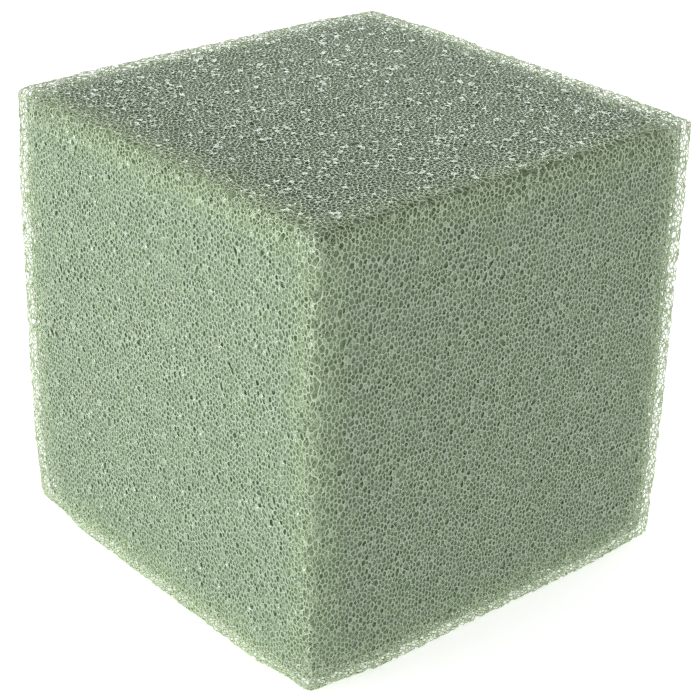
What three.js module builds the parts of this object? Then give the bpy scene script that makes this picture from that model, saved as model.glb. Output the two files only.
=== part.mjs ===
// A cube of open-cell foam for cut flowers. It is one solid piece of foam, cut square from a
// longer block, with lightly rounded edges and corners that have worn rounder than the edges.
// Millimetres, +Z up, origin at the middle of the base.
import * as THREE from 'three';
import { mergeVertices } from 'three/addons/utils/BufferGeometryUtils.js';

// Driving dimensions
const side = 80;          // the cube's length along X, Y and Z
const edgeRadius = 1.8;   // rounding along the twelve edges
const cornerRadius = 4.2; // rounding at the eight corners
const wearReach = 9;      // how far along an edge the extra wear of a corner fades out
const stepsInReach = 8;   // grid steps between an edge and the end of that reach

// Foam finish
const foamColour = 0x8fa985;
const foamRoughness = 0.85;

const half = side / 2;

// Spreads the box's even grid lines: they crowd towards the edges, where the rounding is, and
// leave one wide flat square in the middle of each face.
function gridPlace(evenPlace) {
  const lineCount = 2 * stepsInReach + 1;
  const fromEdge = (1 - Math.abs(evenPlace) / half) * lineCount / 2;
  const share = Math.min(fromEdge / stepsInReach, 1);
  return Math.sign(evenPlace) * (half - wearReach * share * share);
}

// The rounding radius at a point of the sharp cube: cornerRadius at a corner, fading to
// edgeRadius once the point is wearReach away from it.
function radiusAt(point) {
  const clear = half - Math.min(Math.abs(point.x), Math.abs(point.y), Math.abs(point.z));
  return THREE.MathUtils.lerp(cornerRadius, edgeRadius, THREE.MathUtils.smoothstep(clear, 0, wearReach));
}

// Moves a point of the sharp cube onto the rounded one: its nearest point of the cube shrunk
// by the radius, and from there one radius outwards.
function rounded(point) {
  const radius = radiusAt(point);
  const limit = half - radius;
  const core = point.clone().clamp(
    new THREE.Vector3(-limit, -limit, -limit),
    new THREE.Vector3(limit, limit, limit),
  );
  return point.clone().sub(core).setLength(radius).add(core);
}

function foamCubeGeometry() {
  const lines = 2 * stepsInReach + 1;
  const box = new THREE.BoxGeometry(side, side, side, lines, lines, lines);
  box.deleteAttribute('normal');
  box.deleteAttribute('uv');
  const geometry = mergeVertices(box, 1e-4);
  const place = geometry.getAttribute('position');
  const point = new THREE.Vector3();
  for (let i = 0; i < place.count; i += 1) {
    point.fromBufferAttribute(place, i);
    point.set(gridPlace(point.x), gridPlace(point.y), gridPlace(point.z));
    const moved = rounded(point);
    place.setXYZ(i, moved.x, moved.y, moved.z);
  }
  geometry.computeVertexNormals();
  return geometry;
}

const foam = new THREE.MeshStandardMaterial({
  color: foamColour,
  roughness: foamRoughness,
  metalness: 0,
});

const foamBlock = new THREE.Mesh(foamCubeGeometry(), foam);
foamBlock.name = 'foam_block';
foamBlock.position.z = half;

const part = new THREE.Group();
part.add(foamBlock);

export default part;
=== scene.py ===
import math

import bmesh
import bpy
import numpy
from mathutils import Euler, Matrix, Quaternion, Vector, noise


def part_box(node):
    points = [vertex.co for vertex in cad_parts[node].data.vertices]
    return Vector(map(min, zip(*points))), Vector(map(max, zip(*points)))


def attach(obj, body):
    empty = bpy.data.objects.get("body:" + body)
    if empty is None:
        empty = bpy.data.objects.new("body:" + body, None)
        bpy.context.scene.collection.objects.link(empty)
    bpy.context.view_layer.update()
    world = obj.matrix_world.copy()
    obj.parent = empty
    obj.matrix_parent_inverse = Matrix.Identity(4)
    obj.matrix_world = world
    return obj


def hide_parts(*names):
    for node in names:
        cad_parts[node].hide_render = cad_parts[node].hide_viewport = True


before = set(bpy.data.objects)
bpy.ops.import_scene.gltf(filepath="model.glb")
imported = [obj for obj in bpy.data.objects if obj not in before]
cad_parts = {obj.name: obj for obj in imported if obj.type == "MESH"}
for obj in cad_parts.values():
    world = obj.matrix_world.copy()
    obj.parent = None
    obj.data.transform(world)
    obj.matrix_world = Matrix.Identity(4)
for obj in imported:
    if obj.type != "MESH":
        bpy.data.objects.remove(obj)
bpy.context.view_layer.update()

noise.seed_set(1)        # left alone, the waviness would change from run to run

# A cube of open-cell flower foam. The body is closed, and every cell on it is a real pit between
# struts. Along the twelve edges, where light gets through such foam, the body stands back and
# open nets of struts fill the room up to the sharp edge.

blockLow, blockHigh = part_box("foam_block")
blockSize = blockHigh - blockLow
blockMiddle = (blockLow + blockHigh) / 2


def gapsToSides(place):
    # distances from the point to the nearest X, Y and Z side, smallest first
    off = place - blockMiddle
    return sorted(blockSize[i] / 2 - abs(off[i]) for i in range(3))


def edgeGap(place):
    # how far the point is from the nearest of the twelve edges
    return gapsToSides(place)[1]


def falloff(distance, reach):
    # 1 at no distance, smoothly down to 0 at reach
    share = min(max(1 - distance / reach, 0), 1)
    return share * share * (3 - 2 * share)


def paintedGlow(place):
    # how much painted glow the colour gets here, standing in for light that comes through the foam from
    # behind
    off = place - blockMiddle
    outward = [math.copysign(falloff(blockSize[i] / 2 - abs(off[i]), shape["glowReach"]), off[i])
               for i in range(3)]
    toward = max(Vector(outward).dot(shape["shaded"]), 0)
    return falloff(edgeGap(place), shape["glowReach"]) * (1 - shape["shade"] * toward)


grain = 50000       # how finely the random numbers tell places apart, per metre
kinds = {           # of random number; a vector takes its own number and the two after it
    "slide": 1, "lift": 5, "filmRise": 11, "filmSway": 12, "pitFloor": 21, "pitDepth": 22,
    "pitTone": 23, "broken": 31, "hasFilm": 41, "mouthWidth": 42, "keelDepth": 51,
}


def draw(place, kind, low=0.0, high=1.0):
    # a random number that hangs only on the place, so every run grows the same foam; draws of
    # different kinds at one place have nothing to do with each other
    spot = place * grain + Vector((0.37 + kind, 0.37 + 3 * kind, 0.37 + 7 * kind))
    return low + (high - low) * (noise.cell(spot) + 1) / 2


def drawVector(place, kind):
    return Vector([draw(place, kind + i, -1, 1) for i in range(3)])


view = {
    "place": Vector((2.842, -2.454, 1.787)),   # from the block's middle, in sides of the block
    "aim": Vector((0.137, -0.102, 0.013)),     # the point looked at, the same way
    "roll": math.radians(1.5),
    "lens": 98.1,
}


def addCamera():
    place = blockMiddle + view["place"] * blockSize.z
    aim = blockMiddle + view["aim"] * blockSize.z
    camera = bpy.data.objects.new("camera", bpy.data.cameras.new("camera"))
    camera.data.lens = view["lens"]
    camera.data.clip_start = 0.01
    camera.location = place
    camera.rotation_mode = "QUATERNION"
    camera.rotation_quaternion = (aim - place).to_track_quat("-Z", "Y") @ Quaternion((0, 0, 1), view["roll"])
    bpy.context.scene.collection.objects.link(camera)
    bpy.context.scene.camera = camera


shape = {
    "roundingReach": 0.012,     # how far from an edge its rounding works
    "wave": 0.0001,             # slow waviness of the cut faces near the edges
    "waveLength": 0.011,
    "cornerReach": 0.014,       # how far from a corner its wear works
    "narrowing": 0.6,           # share of that reach that is gone by the last pass
    "corners": {                # wear of each corner, in smoothing passes
        (-1, -1, 1): 9, (1, -1, 1): 5, (1, 1, 1): 3, (-1, 1, 1): 10,
        (-1, -1, -1): 24, (1, -1, -1): 26, (1, 1, -1): 8, (-1, 1, -1): 12,
    },
    "glowReach": 0.0075,        # how far in from an edge the painted glow reaches, standing in for light through the foam, and how far the openings widen
    "shaded": Vector((0.68, -0.59, 0.43)),     # edges toward this side get less painted glow, as they have no light behind them
    "shade": 0.5,               # how much less painted glow they get
}

# the outermost cells, cut open by the knife, so that only a net of struts is left of them
strut = {
    "mouth": (0.66, 0.84),      # opening against its cell, the rest is strut
    "thinner": 0.07,            # how much wider the openings are at the edges
    "flatter": 0.3,             # how much of the keel's depth is gone there
    "ridge": 0.035,             # height of a strut's ridge over its sides, in cells
    "keel": (0.10, 0.50),       # depth of its lower edge, in cells
    "broken": 0.01,             # share of struts that are missing
    "frayed": 0.15,             # the same right at the edges
    "frayReach": 0.0015,        # how near an edge that is
    "lift": 0.16,               # random height of each joint between struts, in cells
    "tuck": 0.0004,             # how far the rim of the inner net is tucked into the body
    "filmShare": 0.24,          # share of the small cells that a shiny film still closes
    "filmCell": 1.2,            # only cells under this area are small, in cells squared
    "film": (0.34, 0.52),       # width of a film, in cells
    "filmDepth": 0.2,           # how deep it lies, in cells
    "levelFilms": 0.5,          # share of films on the top and bottom, against the sides
    "levelWider": 0.08,         # how much wider they are there, in cells
    "filmRise": (0.27, 0.36),   # how far a film leans up, as the foam rose that way
    "filmTurn": 0.30,           # and to one side
    "filmSway": 0.05,           # and anyhow, in radians like the other two
    "filmThickness": 0.00006,
    "weld": 0.001,              # points closer than this are one, in cells
}
# the net over the whole block, and the two behind it, which reach only as far as their band from
# the edges: each smooths its edges in so many passes and takes its share of the corners' wear
nets = [
    {"inset": 0.0, "across": 108, "up": 84, "band": None, "rounding": 2, "wear": 1.2},
    {"inset": 0.0008, "across": 92, "up": 76, "band": 0.0040, "rounding": 8, "wear": 1.2},
    {"inset": 0.0017, "across": 88, "up": 72, "band": 0.0036, "rounding": 12, "wear": 1.2},
]

# the cells behind them, as pits in a closed body
pits = {
    "inset": 0.0003,
    "across": 48,
    "up": 42,
    "rounding": 24,             # smoothing passes that round the edges and set them back
    "wear": 0.8,
    "lift": 0.15,
    "floor": (0.40, 0.70),      # width of a pit's floor, in cells
    "depth": (0.15, 0.45),
    "tone": (0.4, 0.75),        # how dark a pit's floor is painted, varied at random: painted shade in the pits
}

# how far into a cell each ring lies, from 0 on a ridge to 1 on the darkest floor; the colour darkens with
# it, as painted shade in the pores and under the struts
tones = {"mouth": 0.2, "pitRim": 0.5, "keel": 0.6}

bakeMap = {"columns": 4, "rows": 3, "fill": 0.96}       # fill: how much of its tile a side fills
stray = 0.36                    # how far a cell's middle strays, in cells
cellSize = blockSize.x / nets[0]["across"]


def gridOnBlock(bm, layer):
    # the sharp block, split into about one square for each cell
    size = blockSize - Vector((2, 2, 2)) * layer["inset"]
    bmesh.ops.create_cube(bm, size=1)
    bmesh.ops.scale(bm, vec=size, verts=bm.verts)
    bmesh.ops.translate(bm, vec=blockMiddle, verts=bm.verts)
    for axis, cells in ((2, layer["up"]), (0, layer["across"]), (1, layer["across"])):
        along = [e for e in bm.edges if abs(e.verts[0].co[axis] - e.verts[1].co[axis]) > size[axis] / 2]
        bmesh.ops.subdivide_edges(bm, edges=along, cuts=cells - 1, use_grid_fill=True)


def smooth(bm, verts, passes):
    for _ in range(passes):
        bmesh.ops.smooth_vert(bm, verts=verts, factor=0.5, use_axis_x=True, use_axis_y=True, use_axis_z=True)


def roundEdges(bm, layer):
    near = [v for v in bm.verts if edgeGap(v.co) < shape["roundingReach"] and not v.is_boundary]
    smooth(bm, near, layer["rounding"])
    for side, wear in shape["corners"].items():
        corner = blockMiddle + Vector(side) * blockSize.x / 2
        around = {v: (v.co - corner).length for v in near if (v.co - corner).length < shape["cornerReach"]}
        passes = round(wear * layer["wear"])
        for turn in range(passes):       # each pass works a little nearer the corner
            reach = shape["cornerReach"] * (1 - shape["narrowing"] * turn / passes)
            smooth(bm, [v for v, distance in around.items() if distance < reach], 1)
    for vert in near:
        sway = noise.noise_vector(vert.co / shape["waveLength"])
        vert.co += sway * shape["wave"] * falloff(edgeGap(vert.co), shape["roundingReach"])


def strayCells(bm):
    # each point slides along the surface, so that no two cells are alike
    bm.normal_update()
    for vert in bm.verts:
        slide = drawVector(vert.co, kinds["slide"])
        slide -= vert.normal * slide.dot(vert.normal)
        vert.co += slide * stray * cellSize


def turnIntoCells(bm):
    # every vertex becomes a cell with struts round it: poke the triangles, turn the old edges
    # across, and dissolve the old vertices
    bmesh.ops.triangulate(bm, faces=bm.faces[:], quad_method="SHORT_EDGE")
    middles, joins = bm.verts[:], bm.edges[:]
    bmesh.ops.poke(bm, faces=bm.faces[:])
    bmesh.ops.rotate_edges(bm, edges=joins, use_ccw=False)
    bmesh.ops.dissolve_verts(bm, verts=middles)
    smooth(bm, [v for v in bm.verts if not v.is_boundary], 1)


def keepBand(bm, reach):
    # leaves only the faces near the edges
    far = [f for f in bm.faces if edgeGap(f.calc_center_median()) > reach]
    bmesh.ops.delete(bm, geom=far, context="FACES")


def breakStruts(bm):
    broken = []
    for edge in bm.edges:
        place = (edge.verts[0].co + edge.verts[1].co) / 2
        share = strut["broken"] + strut["frayed"] * falloff(edgeGap(place), strut["frayReach"])
        if not edge.is_boundary and draw(place, kinds["broken"]) < share:
            broken.append(edge)
    bmesh.ops.dissolve_edges(bm, edges=broken, use_verts=True)


def liftJoints(bm, lift):
    bm.normal_update()
    for vert in bm.verts:
        vert.co += vert.normal * draw(vert.co, kinds["lift"], -lift, lift) * cellSize


def sink(cell, share, depth):
    # narrows a cell's inner face about its middle and sinks it
    middle, inward = cell.calc_center_median(), -cell.normal
    for vert in cell.verts:
        vert.co = middle + (vert.co - middle) * share + inward * depth * cellSize


def leanFilm(cell):
    middle = cell.calc_center_median()
    angle = draw(middle, kinds["filmRise"], *strut["filmRise"]) * (1 - abs(cell.normal.z))
    rise = Matrix.Rotation(angle, 3, cell.normal.cross(Vector((0.001, 0, 1))))
    sway = drawVector(middle, kinds["filmSway"]) * strut["filmSway"] + Vector((0, 0, strut["filmTurn"]))
    turn = Euler(sway).to_matrix() @ rise
    for vert in cell.verts:
        vert.co = middle + turn @ (vert.co - middle)


def addLayers(bm):
    layers = {name: bm.verts.layers.float.new(name) for name in ("pore", "edge", "film")}
    for vert in bm.verts:
        # the weight of the painted glow, which also flattens the keels near the edges
        vert[layers["edge"]] = paintedGlow(vert.co)
    for face in bm.faces:
        face.smooth = True
    return layers


def makePits():
    bm = bmesh.new()
    gridOnBlock(bm, pits)
    roundEdges(bm, pits)
    strayCells(bm)
    turnIntoCells(bm)
    liftJoints(bm, pits["lift"])
    layers = addLayers(bm)
    for vert in bm.verts:
        vert[layers["pore"]] = tones["pitRim"]
    bm.normal_update()
    cells = bm.faces[:]
    bmesh.ops.inset_individual(bm, faces=cells, thickness=0)
    for cell in cells:
        middle = cell.calc_center_median()
        width = draw(middle, kinds["pitFloor"], *pits["floor"])
        sink(cell, width, draw(middle, kinds["pitDepth"], *pits["depth"]))
        tone = draw(middle, kinds["pitTone"], *pits["tone"])
        for vert in cell.verts:
            vert[layers["pore"]] = tone
    print("pits:", len(cells))
    return bm


def cutMouths(bm, layers, rim):
    # opens the cells, or closes a small one with a film; gives back the points of the films
    rimCells = {f for f in bm.faces if any(e.is_boundary for e in f.edges)}
    cells = bm.faces[:]
    bm.normal_update()
    bmesh.ops.inset_individual(bm, faces=cells, thickness=0)
    openCells, filmRings = [], []
    for cell in cells:
        middle = cell.calc_center_median()
        small = cell.calc_area() < strut["filmCell"] * cellSize ** 2 and cell not in rimCells
        level = abs(cell.normal.z)      # 1 on the top and bottom, 0 on the sides
        share = strut["filmShare"] * (1 - level * (1 - strut["levelFilms"]))
        film = small and draw(middle, kinds["hasFilm"]) < share
        if film:
            width = draw(middle, kinds["mouthWidth"], *strut["film"]) + strut["levelWider"] * level
            sink(cell, width, strut["filmDepth"] * (1 - level))
            leanFilm(cell)
            cell.smooth = False
            filmRings += cell.verts
        else:
            wider = strut["thinner"] * falloff(edgeGap(middle), shape["glowReach"])
            sink(cell, draw(middle, kinds["mouthWidth"], *strut["mouth"]) + wider, strut["ridge"])
            openCells.append(cell)
        for vert in cell.verts:
            vert[layers["film"]] = film
            vert[layers["pore"]] = tones["mouth"]
    # both sides of the net meet at its rim, so faces between rim and mouths alone are left out
    fixed = rim.union(*(cell.verts for cell in openCells)) if rim else rim
    bmesh.ops.delete(bm, geom=openCells, context="FACES_ONLY")
    collapsed = [f for f in bm.faces if fixed.issuperset(f.verts)]
    bmesh.ops.delete(bm, geom=collapsed, context="FACES")
    print("open cells:", len(openCells))
    return filmRings


def addUnderside(bm, layers, joints, rim, filmRings):
    # the same net turned over, with its joints let down into a keel
    bm.normal_update()
    inward = {vert: -vert.normal for vert in joints}
    under = bmesh.ops.duplicate(bm, geom=bm.verts[:] + bm.edges[:] + bm.faces[:])
    bmesh.ops.reverse_faces(bm, faces=[g for g in under["geom"] if isinstance(g, bmesh.types.BMFace)])
    for vert in joints:
        if vert not in rim:
            low = under["vert_map"][vert]
            depth = draw(vert.co, kinds["keelDepth"], *strut["keel"])
            low.co += inward[vert] * cellSize * (depth * (1 - strut["flatter"] * vert[layers["edge"]]))
            low[layers["pore"]] = tones["keel"]
    for vert in filmRings:
        under["vert_map"][vert].co -= vert.normal * strut["filmThickness"]
    bmesh.ops.remove_doubles(bm, verts=bm.verts[:], dist=cellSize * strut["weld"])


def makeNet(layer):
    bm = bmesh.new()
    gridOnBlock(bm, layer)
    if layer["band"]:
        keepBand(bm, layer["band"] + 3 * cellSize)      # a few cells more, trimmed off below
    roundEdges(bm, layer)
    strayCells(bm)
    turnIntoCells(bm)
    if layer["band"]:
        keepBand(bm, layer["band"])
    breakStruts(bm)
    liftJoints(bm, strut["lift"])
    layers = addLayers(bm)
    rim = {v for v in bm.verts if v.is_boundary}
    for vert in rim:
        vert.co -= vert.normal * strut["tuck"]
    joints = bm.verts[:]
    filmRings = cutMouths(bm, layers, rim)
    addUnderside(bm, layers, [v for v in joints if v.is_valid], rim, filmRings)
    return bm


def addBakeMap(mesh, pitFaces):
    # a flat map for baking: every polygon lies on the tile of the block's side that it is nearest
    # to, and the pits' six tiles are beside the nets' six
    count = len(mesh.polygons)
    places, centres = numpy.empty(3 * len(mesh.vertices)), numpy.empty(3 * count)
    corners, totals = numpy.empty(len(mesh.loops), int), numpy.empty(count, int)
    mesh.vertices.foreach_get("co", places)
    mesh.polygons.foreach_get("center", centres)
    mesh.loops.foreach_get("vertex_index", corners)
    mesh.polygons.foreach_get("loop_total", totals)
    places = (places.reshape(-1, 3) - blockMiddle) / (blockHigh - blockLow)
    centres = (centres.reshape(-1, 3) - blockMiddle) / (blockHigh - blockLow)
    axis = abs(centres).argmax(axis=1)
    upper = centres[numpy.arange(count), axis] > 0
    column = 2 * (numpy.arange(count) >= pitFaces) + upper
    owner = numpy.repeat(numpy.arange(count), totals)
    flat = numpy.array([(1, 2), (0, 2), (0, 1)])[axis[owner]]
    spots = numpy.take_along_axis(places[corners], flat, axis=1)
    spots = (spots * bakeMap["fill"]).clip(-0.5, 0.5) + 0.5
    spots[:, 0] = (spots[:, 0] + column[owner]) / bakeMap["columns"]
    spots[:, 1] = (spots[:, 1] + axis[owner]) / bakeMap["rows"]
    mesh.uv_layers.new(name="OFBake").data.foreach_set("uv", spots.ravel())


def makeFoam():
    joined = bmesh.new()
    body = makePits()
    pitFaces = len(body.faces)
    for bm in [body] + [makeNet(layer) for layer in nets]:
        mesh = bpy.data.meshes.new("part")
        bm.to_mesh(mesh)
        bm.free()
        joined.from_mesh(mesh)
        bpy.data.meshes.remove(mesh)
    mesh = bpy.data.meshes.new("foam_cube")
    joined.to_mesh(mesh)
    addBakeMap(mesh, pitFaces)
    print("open edges:", sum(not e.is_manifold for e in joined.edges))
    joined.free()
    foam = bpy.data.objects.new("foam_cube", mesh)
    bpy.context.scene.collection.objects.link(foam)
    return foam


finish = {
    "strut": (0.385, 0.465, 0.345, 1),
    # the darker, greener pore colour is painted shade deep in the cells
    "pore": (0.315, 0.445, 0.245, 1),
    # painted lit colours of strut and pore near the edges, standing in for light that comes through the foam
    "paintedLitStrut": (0.51, 0.64, 0.38, 1),
    "paintedLitPore": (0.48, 0.635, 0.34, 1),
    # films are painted dark like the pores, so those out of the glint read as shaded open pores: painted
    # shade
    "film": (0.34, 0.44, 0.28, 1),
    "toneSpan": (0.1, 0.8),     # the tones between which strut colour turns into the darker pore colour, painted shade in the cells
    "patchSize": 420,           # noise scale of the faint patches
    "patchLow": (0.84, 0.86, 0.82, 1),
    "strutRoughness": 0.2,
    "poreRoughness": 0.7,
    "filmRoughness": 0.14,
    "glowThrough": 0.8,
    "glowDepth": 0.0006,        # how far light spreads inside a strut
}


def node(nodes, kind, **settings):
    made = nodes.new(kind)
    for name, value in settings.items():
        setattr(made, name, value)
    return made


def mixColour(nodes, links, factor, a, b, blend="MIX"):
    # a and b are each a socket or a colour
    mix = node(nodes, "ShaderNodeMix", data_type="RGBA", blend_type=blend)
    for socket, value in zip((mix.inputs["Factor"], mix.inputs["A"], mix.inputs["B"]), (factor, a, b)):
        if isinstance(value, bpy.types.NodeSocket):
            links.new(value, socket)
        else:
            socket.default_value = value
    return mix.outputs["Result"]


def ramp(nodes, links, factor, stops):
    made = node(nodes, "ShaderNodeValToRGB")
    elements = made.color_ramp.elements
    for spot, element in zip((stops[0], stops[-1]), (elements[0], elements[1])):
        element.position, element.color = spot
    for position, colour in stops[1:-1]:
        elements.new(position).color = colour
    links.new(factor, made.inputs["Fac"])
    return made.outputs["Color"]


def grey(value):
    return (value, value, value, 1)


def foamMaterial():
    material = bpy.data.materials.new("green open-cell foam")
    material.use_nodes = True
    nodes, links = material.node_tree.nodes, material.node_tree.links
    shader = nodes["Principled BSDF"]
    pore, edge, film = [node(nodes, "ShaderNodeAttribute", attribute_name=name).outputs["Fac"]
                        for name in ("pore", "edge", "film")]
    low, high = finish["toneSpan"]
    # the colour darkens from strut to pore deeper in each cell: painted shade
    plain = ramp(nodes, links, pore, [(low, finish["strut"]), (high, finish["pore"])])
    paintedLit = ramp(nodes, links, pore, [(low, finish["paintedLitStrut"]), (high, finish["paintedLitPore"])])
    # painted glow: lighter colours near the edges, as if lit through
    colour = mixColour(nodes, links, edge, plain, paintedLit)
    colour = mixColour(nodes, links, film, colour, finish["film"])

    where = node(nodes, "ShaderNodeTexCoord")
    patches = node(nodes, "ShaderNodeTexNoise")
    patches.inputs["Scale"].default_value = finish["patchSize"]
    links.new(where.outputs["Object"], patches.inputs["Vector"])
    shade = ramp(nodes, links, patches.outputs["Fac"], [(0.35, finish["patchLow"]), (0.65, (1, 1, 1, 1))])
    colour = mixColour(nodes, links, 1.0, colour, shade, "MULTIPLY")
    links.new(colour, shader.inputs["Base Color"])

    strutRough, poreRough = grey(finish["strutRoughness"]), grey(finish["poreRoughness"])
    rough = ramp(nodes, links, pore, [(0.1, strutRough), (0.7, poreRough)])
    rough = mixColour(nodes, links, film, rough, grey(finish["filmRoughness"]))
    links.new(rough, shader.inputs["Roughness"])
    shader.inputs["Subsurface Weight"].default_value = finish["glowThrough"]
    shader.inputs["Subsurface Radius"].default_value = (1, 1, 1)
    shader.inputs["Subsurface Scale"].default_value = finish["glowDepth"]
    return material


studio = {
    "floorSize": 6,
    "floorDrop": 0.0003,        # the lowest struts reach this far below the block
    "floorGlow": 0.62,
    "horizon": 0.84,            # brightness of the surroundings, low down and overhead
    "zenith": 0.25,
    "softboxes": {              # place, size and power of each
        "key": ((-0.2, -0.97, 0.16), 0.3, 5.4),
        "back": ((-0.8, 0.7, 0.5), 0.5, 2.6),
        "rim": ((-0.1, 1.0, 0.25), 0.4, 4),
    },
}


def addFloor():
    bm = bmesh.new()
    bmesh.ops.create_grid(bm, x_segments=1, y_segments=1, size=studio["floorSize"] / 2)
    bmesh.ops.translate(bm, vec=(0, 0, -studio["floorDrop"]), verts=bm.verts)
    mesh = bpy.data.meshes.new("floor")
    bm.to_mesh(mesh)
    bm.free()
    floor = bpy.data.objects.new("floor", mesh)
    material = bpy.data.materials.new("white table")
    material.use_nodes = True
    shader = material.node_tree.nodes["Principled BSDF"]
    shader.inputs["Base Color"].default_value = (0.9, 0.9, 0.9, 1)
    shader.inputs["Roughness"].default_value = 0.9
    shader.inputs["Emission Color"].default_value = (1, 1, 1, 1)
    shader.inputs["Emission Strength"].default_value = studio["floorGlow"]
    mesh.materials.append(material)
    bpy.context.scene.collection.objects.link(floor)


def addSoftbox(name, place, size, power):
    lamp = bpy.data.objects.new(name, bpy.data.lights.new(name, "AREA"))
    lamp.data.size = size
    lamp.data.energy = power
    lamp.location = place
    lamp.rotation_mode = "QUATERNION"
    lamp.rotation_quaternion = (blockMiddle - Vector(place)).to_track_quat("-Z", "Y")
    bpy.context.scene.collection.objects.link(lamp)


def addWorld():
    world = bpy.data.worlds.new("studio")
    world.use_nodes = True
    nodes, links = world.node_tree.nodes, world.node_tree.links
    where = nodes.new("ShaderNodeTexCoord")
    split = nodes.new("ShaderNodeSeparateXYZ")
    sky = nodes.new("ShaderNodeValToRGB")
    links.new(where.outputs["Generated"], split.inputs["Vector"])
    links.new(split.outputs["Z"], sky.inputs["Fac"])
    links.new(sky.outputs["Color"], nodes["Background"].inputs["Color"])
    sky.color_ramp.elements[0].color = grey(studio["horizon"])
    sky.color_ramp.elements[1].color = grey(studio["zenith"])
    bpy.context.scene.world = world


addCamera()
foam = makeFoam()
foam.data.materials.append(foamMaterial())
print("foam triangles:", sum(len(p.vertices) - 2 for p in foam.data.polygons))
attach(foam, "root")
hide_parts("foam_block")

addFloor()
addWorld()
for name, (place, size, power) in studio["softboxes"].items():
    addSoftbox(name, place, size, power)
bpy.context.scene.view_settings.view_transform = "Standard"

print("studio ready")
